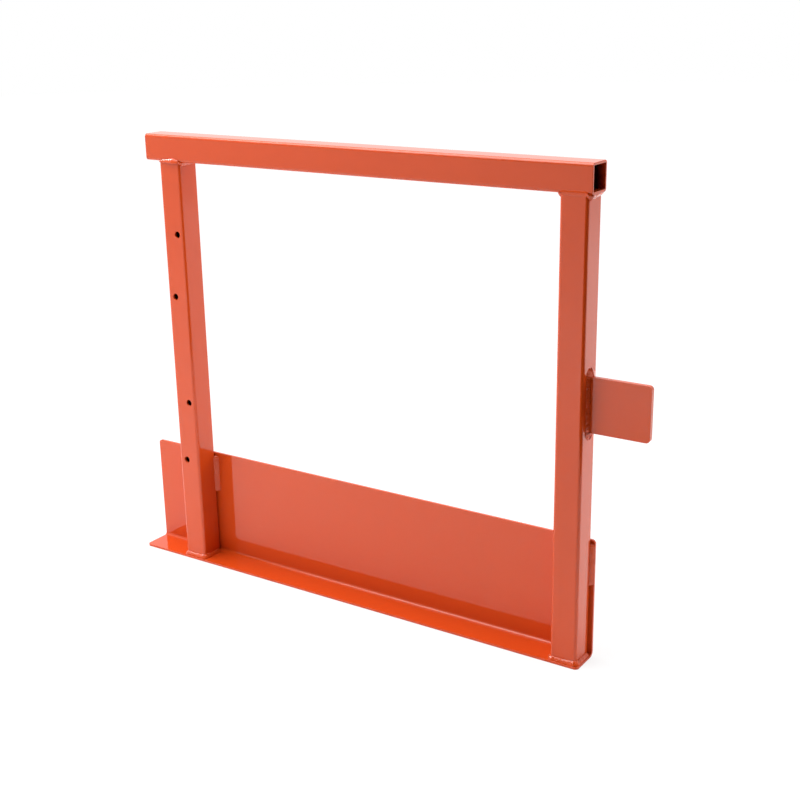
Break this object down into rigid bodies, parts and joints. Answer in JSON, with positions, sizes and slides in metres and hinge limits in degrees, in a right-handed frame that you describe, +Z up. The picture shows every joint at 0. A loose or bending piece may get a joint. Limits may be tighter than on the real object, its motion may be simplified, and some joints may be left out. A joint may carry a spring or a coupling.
{
  "type": "parking barrier gate",
  "caption": "Welded swing-gate leaf: square-tube top rail on square-tube posts, an L-bent toe board along the floor and a side stop plate; the hinge post is drilled for hinges.",
  "frame": {"origin": "on the floor, under the middle of the leaf's outer box", "axes": "+X along the leaf, from the hinge post to the latch post and stop plate; +Y from the front, where the flange points and the hinges bolt on, to the kick plate at the back; +Z up"},
  "size_m": [0.777, 0.044, 0.607],
  "materials": {
    "orange_enamel": "glossy orange-red enamel over welded steel"
  },
  "bodies": {
    "root": {"top_rail": "orange_enamel", "hinge_post": "orange_enamel", "latch_post": "orange_enamel", "toe_board": "orange_enamel", "stop_plate": "orange_enamel", "stop_plate_weld": "orange_enamel", "hinge_post_top_weld": "orange_enamel", "hinge_post_foot_weld": "orange_enamel", "hinge_post_left_stitch_weld": "orange_enamel", "hinge_post_right_stitch_weld": "orange_enamel", "latch_post_top_weld": "orange_enamel", "latch_post_foot_weld": "orange_enamel", "latch_post_left_stitch_weld": "orange_enamel", "latch_post_right_stitch_weld": "orange_enamel"}
  },
  "joints": []
}
